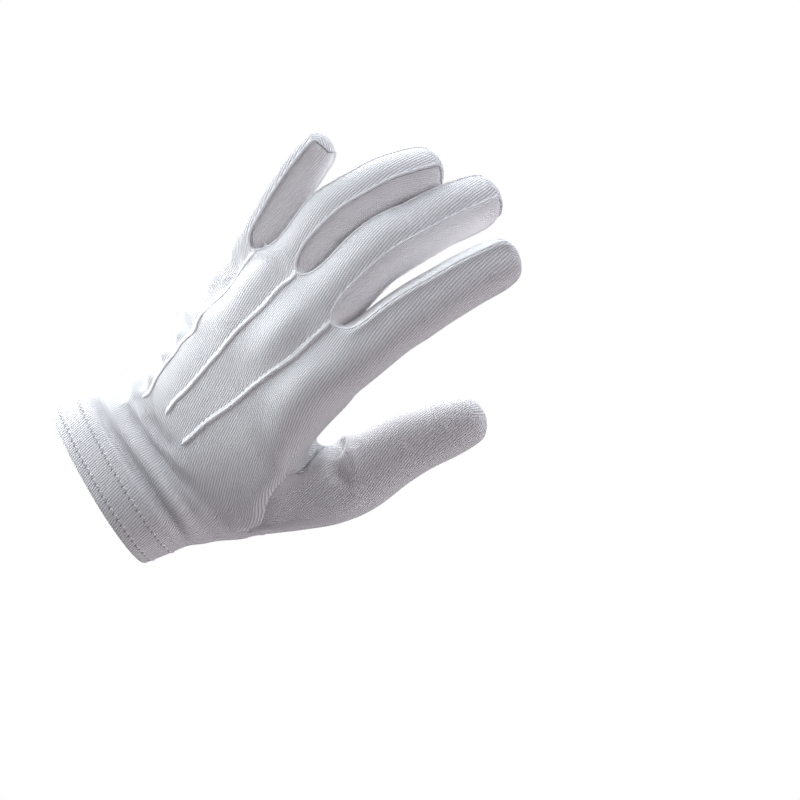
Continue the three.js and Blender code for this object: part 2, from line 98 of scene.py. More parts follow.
# across, lift: knuckle as shares of BREADTH; drop: below the middle knuckle, of PALM; reach: of PALM
# bones: shares of the reach; spread, roll, bends: degrees; crotch: thumb's side and far side, of the reach
# half: of FINGER_HALF; turn: degrees that a corner lies off its usual place round the finger
# strip: how many degrees further the gusset reaches over the back past the crotch
FINGERS = [
    dict(name="index", across=0.348, lift=-0.009, drop=0.085, reach=1.293, bones=(0.474, 0.268),
         spread=0.0, roll=1.7, bends=(17.0, 14.3, 10.3), crotch=(0.245, 0.267), half=(1.0, 0.957),
         turn={3: 12}, strip=18),
    dict(name="middle", across=0.128, lift=-0.026, drop=0.005, reach=1.366, bones=(0.461, 0.284),
         spread=-9.4, roll=-1.3, bends=(14.7, 31.3, 9.5), crotch=(0.190, 0.200), half=(1.009, 0.966)),
    dict(name="ring", across=-0.145, lift=-0.001, drop=0.012, reach=1.180, bones=(0.459, 0.276),
         spread=-10.7, roll=-13.6, bends=(4.8, 29.4, 18.8), crotch=(0.225, 0.130), half=(0.914, 0.879)),
    dict(name="little", across=-0.347, lift=0.039, drop=0.251, reach=1.026, bones=(0.454, 0.258),
         spread=-11.3, roll=-8.9, bends=(-10.4, 10.7, 7.3), crotch=(0.335, 0.290), half=(0.793, 0.767),
         turn={1: -20, 2: -12, 3: -5}),
]
# along, the share of the finger past its crotch, then wide and thick, shares of its own halves
FINGER_SECTIONS = [
    (0.10, 1.00, 1.02),
    (0.24, 0.97, 0.98),
    (0.38, 0.99, 1.00),
    (0.53, 0.95, 0.94),
    (0.68, 0.93, 0.92),
    (0.83, 0.90, 0.87),
    (0.945, 0.74, 0.70),
]
# at: share of SLEEVE from the rim; thumbward, littleward: of HALF_WIDTH; back, front, swell: of HALF_DEPTH
# fold: in or out, of WALL; seam: how far the thumb's seam lies over the back, towards the next column
SLEEVE_COLUMNS = ("at", "thumbward", "littleward", "back", "front", "swell", "fold", "seam")
SLEEVE_ROWS = [
    (0.000, 0.925, 1.000, 1.000, 1.000, 0.000, 0.0, 0.00),
    (0.065, 0.940, 0.980, 0.970, 0.970, 0.025, 0.2, 0.00),
    (0.135, 0.955, 0.950, 0.930, 0.930, 0.055, 0.1, 0.00),
    (0.172, 0.972, 0.935, 0.905, 0.915, 0.085, -0.5, 0.00),
    (0.210, 0.976, 0.910, 0.870, 0.900, 0.135, 0.4, 0.00),
    (0.252, 0.980, 0.888, 0.833, 0.889, 0.205, -0.3, 0.00),
    (0.290, 0.985, 0.878, 0.810, 0.889, 0.270, 0.5, 0.00),
    (0.330, 0.995, 0.875, 0.795, 0.889, 0.370, 0.0, 0.00),
    (0.375, 1.015, 0.875, 0.775, 0.889, 0.460, 0.0, 0.30),
    (0.440, 1.050, 0.898, 0.735, 0.907, 0.520, 0.0, 0.45),
    (0.530, 1.075, 0.930, 0.685, 0.889, 0.390, 0.0, 0.48),
    (0.645, 1.095, 0.980, 0.648, 0.852, 0.240, 0.0, 0.35),
    (0.784, 1.109, 1.010, 0.611, 0.778, 0.130, 0.0, 0.10),
    (0.863, 1.066, 1.010, 0.593, 0.722, 0.000, 0.0, 0.00),
]
# at, past the knuckles, of CROTCH_ROW, then wide, back and front, of each finger's own halves
KNUCKLE_ROWS = [
    (0.0, 1.02, 1.32, 1.62),
    (0.5, 1.00, 1.12, 1.34),
]
# how the base of the thumb swells a row: shares sideways and palmward by column
SWELL = {0: (0.75, 0.70), 19: (0.95, 0.85), 18: (0.75, 0.95), 17: (0.35, 0.70), 16: (0.10, 0.30),
         1: (0.35, 0.30), 2: (0.10, 0.05)}
# columns over the back, from the thumb's side, at the knuckles and at the wrist, and over the palm
BACK_KNUCKLE = (0.935, 0.72, 0.47, 0.22, -0.03, -0.28, -0.52, -0.75, -0.94)
BACK_WRIST = (0.90, 0.62, 0.33, 0.15, -0.01, -0.17, -0.35, -0.63, -0.90)
FRONT_KNUCKLE = (0.94, 0.74, 0.49, 0.24, -0.01, -0.26, -0.51, -0.75, -0.94)
# across of BREADTH, and how far the row of knuckles falls back there, of PALM
KNUCKLE_LINE = (
    (-0.53, 0.352), (-0.347, 0.251), (-0.145, 0.020), (0.128, 0.005), (0.348, 0.085), (0.53, 0.190),
)
# how square the sleeve's section is at the wrist, and how much more at the knuckles
SQUARE_WRIST = 2.2
SQUARE_MORE = 0.5
# from where past the cuff and over what length the wrist's columns turn into the knuckles', and from where past
# the rim and over what length the rows begin to slope as the knuckles do
BLEND_START = 2 * MM
BLEND_LENGTH = 70 * MM
SLOPE_START = 38 * MM
SLOPE_LENGTH = 62 * MM
# wide, back and front of a finger at its crotch
CROTCH_SIZE = (1.0, 1.04, 1.12)
OCTAGON = ((1, 0), (0.72, -0.72), (0, -1), (-0.72, -0.72), (-1, 0), (-0.72, 0.72), (0, 1), (0.72, 0.72))
# the corners of the rows at the knuckles by finger and corner; four values are a corner between two fingers
ROW_CORNERS = (
    (0, 0), (0, 1), (0, 2), (0, 3, 1, 1), (1, 2), (1, 3, 2, 1), (2, 2), (2, 3, 3, 1), (3, 2), (3, 3),
    (3, 4), (3, 5), (3, 6), (3, 7, 2, 5), (2, 6), (2, 7, 1, 5), (1, 6), (1, 7, 0, 5), (0, 6), (0, 7),
)
PIECES = [
    "trank", "hem", "thumb", "fourchette_index_middle", "fourchette_middle_ring", "fourchette_ring_little",
]


def ease(x):
    t = min(1.0, max(0.0, x))
    return t * t * (3 - 2 * t)


def turned(turn, **degrees):
    for axis, angle in degrees.items():
        turn = turn @ Matrix.Rotation(radians(angle), 3, axis.upper())
    return turn


def walk(start, length, turn_at):
    """Follows a bent centre line in steps of at most a millimetre."""
    place = start.copy()
    steps = max(1, round(length / MM))
    for i in range(steps):
        place += turn_at((i + 0.5) * length / steps).col[2] * (length / steps)
    return place, turn_at(length)


def sleeve_frame(distance):
    def turn_at(s):
        k = ease((s - CUFF + WRIST_HALF) / (2 * WRIST_HALF))
        return turned(Matrix.Identity(3), y=WRIST_SIDE * k, x=WRIST_BACK * k)
    return walk(Vector(), distance, turn_at)


hand_place, hand_turn = sleeve_frame(CUFF + WRIST_HALF)


def from_crease(x, y, z):
    return hand_place + hand_turn @ Vector((x, y, z - WRIST_HALF))


def finger_frame(finger, distance):
    start = from_crease(finger["across"] * BREADTH, finger["lift"] * BREADTH, PALM * (1 - finger["drop"]))
    base_turn = turned(hand_turn, y=finger["spread"], z=finger["roll"])
    first, second = (share * finger["reach"] * PALM for share in finger["bones"])
    bends = finger["bends"]

    def turn_at(t):
        bend = bends[0] * ease(t / (2 * KNUCKLE_HALF))
        bend += bends[1] * ease((t - first + KNUCKLE_HALF) / (2 * KNUCKLE_HALF))
        bend += bends[2] * ease((t - first - second + KNUCKLE_HALF) / (2 * KNUCKLE_HALF))
        return turned(base_turn, x=-bend)
    return walk(start, distance, turn_at)


def finger_point(finger, distance, wide, back, front, k, further=0):
    place, turn = finger_frame(finger, distance)
    corner = Matrix.Rotation(radians(finger.get("turn", {}).get(k, 0) + further), 2) @ Vector(OCTAGON[k])
    deep = back if corner.y < 0 else front
    half_wide, half_deep = (share * FINGER_HALF for share in finger["half"])
    return place + turn @ Vector((corner.x * wide * half_wide, corner.y * deep * half_deep, 0))


net_points = []
net_faces = []
along_cloth = []


def add_point(point, along):
    net_points.append(point)
    along_cloth.append(along)
    return len(net_points) - 1


def add_face(corners, piece, columns, ribs):
    """columns: the column of each corner; ribs: how far it lies across the knit's ribs."""
    net_faces.append((corners, PIECES.index(piece), columns, ribs))


def arcs(ring, centre):
    """Distances along a chain of corners, counted from one of them."""
    steps = [(net_points[a] - net_points[b]).length for a, b in zip(ring, ring[1:])]
    marks = np.concatenate([[0.0], np.cumsum(steps)])
    return marks - marks[centre]


def middle(points):
    return sum(points, Vector()) / len(points)


rows = []
for values in SLEEVE_ROWS:
    row = dict(zip(SLEEVE_COLUMNS, values))
    distance = row["at"] * SLEEVE
    place, turn = sleeve_frame(distance)
    k = ease((distance - CUFF - BLEND_START) / BLEND_LENGTH)
    power = SQUARE_WRIST + SQUARE_MORE * k
    back = [wrist * (1 - k) + knuckle * k for wrist, knuckle in zip(BACK_WRIST, BACK_KNUCKLE)]
    front = [wrist * (1 - k) + knuckle * k for wrist, knuckle in zip(BACK_WRIST, FRONT_KNUCKLE)]
    seam = 1 - (1 - back[0]) * row["seam"] ** 2
    outline = [(x, -(1 - abs(x) ** power) ** (1 / power)) for x in [seam, *back, -1]]
    outline += [(x, (1 - abs(x) ** power) ** (1 / power)) for x in reversed(front)]
    corners = []
    for j, (x, y) in enumerate(outline):
        wide = HALF_WIDTH * row["thumbward" if x > 0 else "littleward"] + row["fold"] * WALL * 0.5
        deep = HALF_DEPTH * row["back" if y < 0 else "front"] + row["fold"] * WALL * (1 if y < 0 else 0.5)
        side, palmward = SWELL.get(j, (0, 0))
        swell = row["swell"] * HALF_DEPTH
        slope = ease((distance - SLOPE_START) / SLOPE_LENGTH)
        drop = np.interp(x * wide / BREADTH, *zip(*KNUCKLE_LINE)) * PALM * slope
        point = place + turn @ Vector((x * wide + side * swell, y * deep + palmward * swell, -drop))
        corners.append(add_point(point, distance))
    rows.append(corners)

for at, *size in KNUCKLE_ROWS:
    distance = at * CROTCH_ROW
    corners = []
    for names in ROW_CORNERS:
        pairs = [(FINGERS[names[i]], names[i + 1]) for i in range(0, len(names), 2)]
        point = middle([finger_point(finger, distance, *size, k) for finger, k in pairs])
        corners.append(add_point(point, SLEEVE + distance))
    rows.append(corners)


def crotch_point(i, k, side):
    finger = FINGERS[i]
    return finger_point(finger, finger["crotch"][side] * finger["reach"] * PALM, *CROTCH_SIZE, k)


corners = []
for names in ROW_CORNERS:
    if len(names) == 4:
        a, k, b, m = names
        near = 1 if k == 3 else 0
        pair = [crotch_point(a, k, near), crotch_point(b, m, 1 - near)]
    elif names[1] in (2, 6):
        pair = [crotch_point(*names, 0), crotch_point(*names, 1)]
    else:
        pair = [crotch_point(*names, 0 if names[0] == 0 else 1)]
    corners.append(add_point(middle(pair), SLEEVE + CROTCH_ROW))
rows.append(corners)
webs = []
for i in range(3):
    web = middle([crotch_point(i, 4, 1), crotch_point(i + 1, 0, 0)])
    webs.append(add_point(web, SLEEVE + CROTCH_ROW))

row_ribs = []
for row in rows:
    palm_ribs = arcs(row[10:] + row[:1], 5)
    row_ribs.append((arcs(row[:11], 5), palm_ribs))

THUMB_OPENING = (8, 12)
for r in range(len(rows) - 1):
    for j in range(COLUMNS):
        if THUMB_OPENING[0] <= r < THUMB_OPENING[1] and j >= COLUMNS - 2:
            continue
        k = (j + 1) % COLUMNS
        corners = (rows[r][k], rows[r][j], rows[r + 1][j], rows[r + 1][k])
        palm = 1 if j >= 10 else 0
        lower, upper = (row_ribs[n][palm][j - 10 * palm:j - 10 * palm + 2] for n in (r, r + 1))
        ribs = (lower[1], lower[0], upper[0], upper[1])
        add_face(corners, "hem" if r < HEM_ROWS else "trank", (j + 1, j, j, j + 1), ribs)

top = rows[-1]
first_rings = [
    [top[0], top[1], top[2], top[3], webs[0], top[17], top[18], top[19]],
    [webs[0], top[3], top[4], top[5], webs[1], top[15], top[16], top[17]],
    [webs[1], top[5], top[6], top[7], webs[2], top[13], top[14], top[15]],
    [webs[2], top[7], top[8], top[9], top[10], top[11], top[12], top[13]],
]


def finger_strip(i, k):
    """The piece that the faces between corner k and the next belong to, and where they lie across the cloth."""
    if k in (7, 0) and i > 0:
        return PIECES[2 + i], (2, 1) if k == 7 else (1, 0)
    if k in (3, 4) and i < 3:
        return PIECES[3 + i], (0, 1) if k == 3 else (1, 2)
    if k <= 4:
        return "trank", (2 * i + k, 2 * i + k + 1)
    return "trank", (12 - 2 * i + k, 13 - 2 * i + k)


def ring_ribs(ring, i, k):
    """How far corners k and the next one of a finger's ring lie across the ribs of their piece."""
    if k in (3, 4) and i < 3:
        return arcs(ring[3:6], 1)[k - 3:k - 1]
    if k in (7, 0) and i > 0:
        marks = arcs([ring[7], ring[0], ring[1]], 1)
        return (-marks[0:2]) if k == 7 else (-marks[1:3])
    if k < 4:
        return (arcs(ring[:5], 2) + row_ribs[-1][0][2 * i + 2])[k:k + 2]
    return (arcs(ring[4:] + ring[:1], 2) + row_ribs[-1][1][8 - 2 * i])[k - 4:k - 2]


for i, finger in enumerate(FINGERS):
    total = finger["reach"] * PALM
    rings = [first_rings[i]]
    for along, wide, thick in FINGER_SECTIONS:
        ring = []
        for k, (x, _) in enumerate(OCTAGON):
            start = total * (finger["crotch"][0] * (1 + x) + finger["crotch"][1] * (1 - x)) / 2
            distance = start + (total - start) * along
            further = finger.get("strip", 0) if k == 3 else 0
            point = finger_point(finger, distance, wide, thick, thick, k, further)
            ring.append(add_point(point, SLEEVE + distance))
        rings.append(ring)
    tip = add_point(finger_frame(finger, total)[0], SLEEVE + total)
    for lower, upper in zip(rings, rings[1:]):
        for k in range(8):
            m = (k + 1) % 8
            piece, (near, far) = finger_strip(i, k)
            low_ribs = ring_ribs(lower, i, k)
            high_ribs = ring_ribs(upper, i, k)
            ribs = (low_ribs[1], low_ribs[0], high_ribs[0], high_ribs[1])
            add_face((lower[m], lower[k], upper[k], upper[m]), piece, (far, near, near, far), ribs)
    for k in range(0, 8, 2):
        centre = 2 * i + 2 if k in (0, 2, 4) else 18 - 2 * i
        middle_rib = row_ribs[-1][0][centre] if centre < 10 else row_ribs[-1][1][centre - 10]
        ribs = [middle_rib + side * finger["half"][0] * FINGER_HALF * 0.5 for side in (1, 0, -1, 0)]
        columns = (centre + 1, centre, centre - 1, centre)
        add_face((ring[k + 1], ring[k], ring[(k + 7) % 8], tip), "trank", columns, ribs)

# Thumb
# A tube of its own, with the knit running along it, set into an opening left in the side of the trank.
THUMB_BASE = (0.331, 0.082, 0.106)
THUMB_LENGTH = 105.9 * MM
THUMB_BONES = (0.380, 0.703)
THUMB_HALF = 13.4 * MM
THUMB_ASIDE = radians(43.5)
THUMB_FORWARD = radians(33.0)
THUMB_BENDS = (37.4, -11.9)
THUMB_JOINT_HALF = 9 * MM
# along, wide, thick, and lean: how much further along the web's side of the ring lies
THUMB_SECTIONS = [
    (0.400, 1.22, 1.17, 0.060),
    (0.490, 1.12, 1.08, 0.035),
    (0.585, 1.03, 1.01, 0.010),
    (0.685, 0.98, 0.97, 0.000),
    (0.790, 0.90, 0.91, 0.000),
    (0.890, 0.80, 0.82, 0.000),
    (0.960, 0.62, 0.63, 0.000),
]

thumb_base = from_crease(*(share * BREADTH for share in THUMB_BASE))
flat = cos(THUMB_FORWARD)
thumb_along = hand_turn @ Vector((sin(THUMB_ASIDE) * flat, sin(THUMB_FORWARD), cos(THUMB_ASIDE) * flat))
thumb_web = hand_turn @ Vector((-cos(THUMB_ASIDE), 0, sin(THUMB_ASIDE)))
thumb_web = (thumb_web - thumb_along * thumb_web.dot(thumb_along)).normalized()
thumb_turn = Matrix((thumb_web, thumb_along.cross(thumb_web), thumb_along)).transposed()


def thumb_frame(distance):
    def turn_at(t):
        bend = 0
        for degrees, share in zip(THUMB_BENDS, THUMB_BONES):
            past = t - share * THUMB_LENGTH + THUMB_JOINT_HALF
            bend += degrees * ease(past / (2 * THUMB_JOINT_HALF))
        return turned(thumb_turn, y=bend)
    return walk(thumb_base, distance, turn_at)


low, high = THUMB_OPENING
opening = [rows[high][19], rows[high][18]] + [rows[r][18] for r in range(high - 1, low, -1)]
opening += [rows[low][18], rows[low][19], rows[low][0]] + [rows[r][0] for r in range(low + 1, high + 1)]
count = len(opening)
rings = [opening]
for along, wide, thick, lean in THUMB_SECTIONS:
    ring = []
    for k in range(count):
        angle = 2 * pi * k / count
        distance = (along + lean * cos(angle)) * THUMB_LENGTH
        place, turn = thumb_frame(distance)
        offset = Vector((cos(angle) * wide * THUMB_HALF, -sin(angle) * thick * THUMB_HALF, 0))
        ring.append(add_point(place + turn @ offset, distance))
    rings.append(ring)
tip = add_point(thumb_frame(THUMB_LENGTH)[0], THUMB_LENGTH)
thumb_rim_along = {}
for v, w in zip(rings[0], rings[1]):
    thumb_rim_along[v] = along_cloth[w] - (net_points[v] - net_points[w]).length
# the corners of a ring in the middle of the side that is seen, and where its cloth is cut open to lie flat
THUMB_SEEN = 10
THUMB_SPLIT = 3
unrolled = [(k + THUMB_SPLIT) % count for k in range(count + 1)]
thumb_ribs = [arcs([ring[k] for k in unrolled], THUMB_SEEN - THUMB_SPLIT) for ring in rings]
for r, (lower, upper) in enumerate(zip(rings, rings[1:])):
    for n, (k, m) in enumerate(zip(unrolled, unrolled[1:])):
        ribs = (thumb_ribs[r][n + 1], thumb_ribs[r][n], thumb_ribs[r + 1][n], thumb_ribs[r + 1][n + 1])
        add_face((lower[m], lower[k], upper[k], upper[m]), "thumb", (k + 1, k, k, k + 1), ribs)
for k in range(0, count, 2):
    ribs = [thumb_ribs[-1][(k - THUMB_SPLIT) % count] + side * THUMB_HALF * 0.3 for side in (1, 0, -1, 0)]
    add_face((ring[k + 1], ring[k], ring[(k + count - 1) % count], tip), "thumb", (k + 1, k, k - 1, k), ribs)

# Smooth surface
# The jersey is drawn smooth over the hand. The coarse net is moved out until its smooth surface passes through
# the wanted corners. The cloth's own coordinates, in metres across and along the ribs, go with it as a UV map.
LEVELS = 3
FIT_ROUNDS = 3
COLUMN_STEP = 7.5 * MM


def reached(vertex):
    """Where a corner of the net ends up on the smooth surface."""
    if vertex.is_boundary:
        rim = [edge.other_vert(vertex).co for edge in vertex.link_edges if edge.is_boundary]
        return (vertex.co * 4 + rim[0] + rim[1]) / 6
    n = len(vertex.link_edges)
    near = sum((edge.other_vert(vertex).co for edge in vertex.link_edges), Vector())
    far = sum((loop.link_loop_next.link_loop_next.vert.co for loop in vertex.link_loops), Vector())
    return (vertex.co * n * n + near * 4 + far) / (n * (n + 5))


net = bmesh.new()
cloth_layer = net.loops.layers.uv.new("cloth")
column_layer = net.loops.layers.uv.new("columns")
used = sorted({v for face in net_faces for v in face[0]})
net_vertex = {v: net.verts.new(net_points[v]) for v in used}
for corners, piece, columns, ribs in net_faces:
    face = net.faces.new([net_vertex[v] for v in corners])
    face.material_index = piece
    for loop, v, column, rib in zip(face.loops, corners, columns, ribs):
        along = along_cloth[v]
        if PIECES[piece] == "thumb":
            along = thumb_rim_along.get(v, along)
        loop[cloth_layer].uv = (rib, along)
        loop[column_layer].uv = (column * COLUMN_STEP, along)
for _ in range(FIT_ROUNDS):
    short = [(vertex, net_points[v] - reached(vertex)) for v, vertex in net_vertex.items()]
    for vertex, move in short:
        vertex.co += move
net_mesh = bpy.data.meshes.new("net")
net.to_mesh(net_mesh)
net.free()
for piece in PIECES:
    net_mesh.materials.append(bpy.data.materials.new(f"net_{piece}"))
net_object = add_object("net", net_mesh)
smoothing = net_object.modifiers.new("smooth", "SUBSURF")
smoothing.levels = LEVELS
smoothing.boundary_smooth = "ALL"
depsgraph = bpy.context.evaluated_depsgraph_get()
smooth_mesh = bpy.data.meshes.new_from_object(net_object.evaluated_get(depsgraph))
bpy.data.objects.remove(net_object)


def read(collection, name, width, kind=np.float64):
    values = np.zeros(len(collection) * width, kind)
    collection.foreach_get(name, values)
    return values.reshape(-1, width)


points = read(smooth_mesh.vertices, "co", 3)
quads = read(smooth_mesh.loops, "vertex_index", 1, np.int32).reshape(-1, 4)
face_piece = read(smooth_mesh.polygons, "material_index", 1, np.int32).ravel()
cloth = read(smooth_mesh.uv_layers["cloth"].data, "uv", 2).reshape(-1, 4, 2)
column_places = read(smooth_mesh.uv_layers["columns"].data, "uv", 2).reshape(-1, 4, 2)


def unit(vectors):
    return vectors / np.linalg.norm(vectors, axis=1, keepdims=True)


def normals_of(points):
    a, b, c, d = (points[quads[:, i]] for i in range(4))
    face_normals = np.cross(c - a, d - b)
    normals = np.zeros_like(points)
    for i in range(4):
        np.add.at(normals, quads[:, i], face_normals)
    return unit(normals)


normals = normals_of(points)

# Folds
# The jersey creases across the wrist, puckers along the little finger's side and is drawn in beside each tuck,
# at the finger joints and at the thumb. Each fold is one stroke over the cloth, from place to place.
# each row: wide and high in millimetres, and its path
# path: (column, share of SLEEVE from the rim), or of THUMB_LENGTH on the thumb
TRANK_FOLDS = [
    (19.0, 2.8, ((5.8, .36), (5.8, .60), (5.6, .85), (5.4, 1.16))),
    (2.1, -3.9, ((8.8, .160), (6.5, .162), (4.7, .167), (2.4, .178), (0.2, .180))),
    (2.4, 1.3, ((8.4, .196), (6.3, .192), (4.7, .200), (3.0, .211), (0.6, .225))),
    (2.1, -1.7, ((7.4, .248), (5.8, .251), (3.6, .264), (2.6, .290), (1.4, .318))),
    (2.2, 1.2, ((7.2, .294), (4.9, .294), (3.4, .312), (2.6, .365), (1.9, .410))),
    (2.4, -0.9, ((5.8, .340), (4.6, .352), (3.6, .385), (2.9, .43))),
    (1.2, -0.8, ((0, .36), (0, .44), (0, .53), (0, .645), (0, .79))),
    (3.2, -1.8, ((7.4, .262), (8.2, .266), (9.4, .275))),
    (3.6, 1.3, ((7.2, .330), (8.3, .333), (9.6, .340))),
    (3.2, -2.2, ((7.3, .395), (8.2, .400), (9.5, .410))),
    (3.6, 1.6, ((7.1, .468), (8.0, .474), (9.5, .480))),
    (3.2, -2.5, ((7.2, .545), (7.9, .552), (9.4, .565))),
    (3.6, 1.7, ((7.1, .610), (8.0, .620), (9.5, .630))),
    (3.0, -2.1, ((7.2, .685), (7.9, .690), (9.3, .700))),
    (3.4, 1.6, ((7.1, .750), (8.0, .756), (9.4, .765))),
    (3.2, -2.6, ((6.9, .812), (7.6, .820), (9.2, .835))),
    (3.4, 1.7, ((6.9, .872), (7.8, .880), (9.3, .890))),
    (3.2, -2.5, ((7.0, .930), (7.7, .938), (9.2, .950))),
    (3.6, 1.6, ((7.1, 1.015), (7.9, 1.02), (9.3, 1.03))),
    (3.2, -1.7, ((7.3, 1.105), (7.9, 1.114), (9.0, 1.12))),
    (2.6, -1.0, ((18.5, .222), (16.5, .200), (14.5, .195), (12.5, .200), (10.6, .205))),
    (2.6, 0.6, ((18.2, .252), (15.5, .236), (12.8, .240))),
    (2.8, -0.8, ((18.2, .315), (16.0, .290), (13.5, .285), (11.4, .300))),
    (3.2, -0.9, ((17.4, .860), (15.8, .740), (15.2, .600), (15.4, .460), (15.9, .340))),
    (2.8, -0.7, ((17.0, .915), (15.0, .870), (13.0, .850), (11.2, .870))),
]
THUMB_FOLDS = [
    (2.8, 2.0, ((12.0, .42), (11.2, .41), (10.6, .375), (10.2, .34))),
    (2.9, -1.6, ((12.0, .49), (11.5, .465), (11.0, .44), (10.5, .415))),
    (2.6, -3.2, ((12.0, .49), (11.0, .44), (10.35, .41), (9.9, .39), (9.2, .40), (8.6, .42))),
    (2.6, 0.7, ((10.6, .52), (9.8, .50), (9.0, .49))),
]
FOLDS = [("trank", *row) for row in TRANK_FOLDS] + [("thumb", *row) for row in THUMB_FOLDS]
# the creases across the finger joints: wide, their least depth and the depth for each degree of bend in
# millimetres, how far they reach aside in columns, and how far their middle bows towards the cuff
CREASE_WIDE = 2.2
CREASE_LEAST = 0.2
CREASE_BEND = 0.018
CREASE_ASIDE = 0.9
CREASE_BOW = 0.01

for i, finger in enumerate(FINGERS):
    total = finger["reach"] * PALM
    joint = 0
    for bone, bend in zip(finger["bones"], finger["bends"][1:]):
        joint += bone * total
        share = 1 + joint / SLEEVE
        centre = 18 - 2 * i
        path = ((centre - CREASE_ASIDE, share), (centre, share - CREASE_BOW), (centre + CREASE_ASIDE, share))
        FOLDS.append(("trank", CREASE_WIDE, -CREASE_BEND * bend - CREASE_LEAST, path))

# the three tucks' lines, from the knuckles' crotches down to the wrist
TUCK_LINES = {
    "point_index_middle": ((3.0, 1.212), (3.0, 1.140), (3.0, 1.046), (3.1, .977), (3.12, .861), (3.1, .758),
        (3.12, .646), (3.02, .517), (3.0, .444)),
    "point_middle_ring": ((5.0, 1.212), (5.1, 1.085), (5.0, 1.007), (5.08, .932), (5.1, .893), (5.02, .827),
        (5.0, .725), (4.92, .614), (4.98, .538), (4.9, .452)),
    "point_ring_little": ((7.0, 1.212), (7.15, 1.097), (7.0, 1.013), (6.75, .960), (7.05, .918), (7.0, .879),
        (6.75, .795), (7.05, .717), (7.0, .655), (7.1, .616), (7.2, .518), (7.1, .471),
        (7.0, .428), (7.28, .336)),
}
TUCK_GROOVE_WIDE = 1.6
TUCK_GROOVE_HIGH = -0.15
FOLDS += [("trank", TUCK_GROOVE_WIDE, TUCK_GROOVE_HIGH, line) for line in TUCK_LINES.values()]


def cloth_tree(pieces):
    """Finds the points of the smooth surface from the cloth's own coordinates."""
    own = np.isin(face_piece, [PIECES.index(piece) for piece in pieces])
    corners = quads[own].ravel()
    spots = column_places[own].reshape(-1, 2)
    keys = np.round(np.column_stack([corners, spots * 1e5])).astype(np.int64)
    _, first = np.unique(keys, axis=0, return_index=True)
    tree = KDTree(len(first))
    for n, i in enumerate(first):
        tree.insert((*spots[i], 0), n)
    tree.balance()
    return tree, corners[first]


CLOTH_TREES = {"trank": cloth_tree(["trank", "hem"]), "thumb": cloth_tree(["thumb"])}
PATH_STEP = 1.5 * MM
PATH_SMOOTH = 2


def marks_along(line):
    """How far each point lies along a line."""
    return np.concatenate([[0], np.cumsum(np.linalg.norm(np.diff(line, axis=0), axis=1))])


def smooth_line(line, times):
    """Evens out a line between its ends."""
    for _ in range(times):
        line[1:-1] = (line[:-2] + line[1:-1] * 2 + line[2:]) / 4
    return line


def path_on_cloth(piece, path, surface):
    """A line over the surface, in short steps, from its places on the cloth."""
    length = THUMB_LENGTH if piece == "thumb" else SLEEVE
    spots = np.array([(column * COLUMN_STEP, share * length) for column, share in path])
    lengths = marks_along(spots)
    steps = np.linspace(0, lengths[-1], max(3, int(lengths[-1] / PATH_STEP)))
    wanted = np.column_stack([np.interp(steps, lengths, spots[:, i]) for i in range(2)])
    tree, owners = CLOTH_TREES[piece]
    line = []
    for spot in wanted:
        near = tree.find_n((*spot, 0), 4)
        weights = np.array([1 / (distance + 0.2 * MM) ** 2 for _, _, distance in near])
        line.append(weights @ surface[[owners[n] for _, n, _ in near]] / weights.sum())
    return smooth_line(np.array(line), PATH_SMOOTH)


STROKE_REACH = 3
STROKE_FADE = 1.8


def stroke_height(place, line, wide, high):
    """How far a stroke lifts each point: full on its line, fading out sideways and at both ends."""
    reach = STROKE_REACH * wide * MM
    lift = np.zeros(len(place))
    inside = np.all((place > line.min(axis=0) - reach) & (place < line.max(axis=0) + reach), axis=1)
    close = place[inside]
    steps = np.linalg.norm(np.diff(line, axis=0), axis=1)
    best = np.full(len(close), 1e9)
    share = np.zeros(len(close))
    start = 0.0
    for a, b, step in zip(line, line[1:], steps):
        t = np.clip(((close - a) @ (b - a)) / (step * step), 0, 1)
        distance = np.linalg.norm(close - (a + t[:, None] * (b - a)), axis=1)
        near = distance < best
        best[near] = distance[near]
        share[near] = (start + t[near] * step) / steps.sum()
        start += step
    ends = np.clip(np.sin(pi * share) * STROKE_FADE, 0, 1)
    lift[inside] = high * MM * ends * np.exp(-(best / (wide * MM)) ** 2)
    return lift


lift = np.zeros(len(points))
for piece, wide, high, path in FOLDS:
    lift += stroke_height(points, path_on_cloth(piece, path, points), wide, high)
UNDULATION = 0.18 * MM
UNDULATION_SIZE = 11 * MM
for i, point in enumerate(points):
    lift[i] += UNDULATION * noise.noise(Vector(point) / UNDULATION_SIZE)
points = points + normals * lift[:, None]
normals = normals_of(points)

# Cut and sewn pieces
# Every piece is a closed sheet of its own thickness with a rounded edge. At a seam its edge is drawn back a
# little and stands proud or lies low, as the turned-in cloth of a sewn glove does.
SEAM_GAP = 0.12 * MM
LIP = 0.35 * MM
RIM_DRAWN = 0.5 * MM
# by the piece and the one it meets: how far the edge stands proud, millimetres
EDGE_RISE = {
    ("trank", "fourchette"): 0.25, ("fourchette", "trank"): -0.15,
    ("trank", "thumb"): 0.22, ("thumb", "trank"): -0.22,
}
# where two pieces are one cloth: gap and lip, of the usual ones
EDGE_FINE = {("trank", "hem"): 0.2, ("hem", "trank"): 0.2}
EDGE_FADE = 1.5 * MM


def towards_faces(faces):
    """From each point, the sum of the directions to the middles of the faces round it."""
    centres = points[faces].mean(axis=1)
    total = np.zeros_like(points)
    for i in range(4):
        np.add.at(total, faces[:, i], unit(centres - points[faces[:, i]]))
    return total


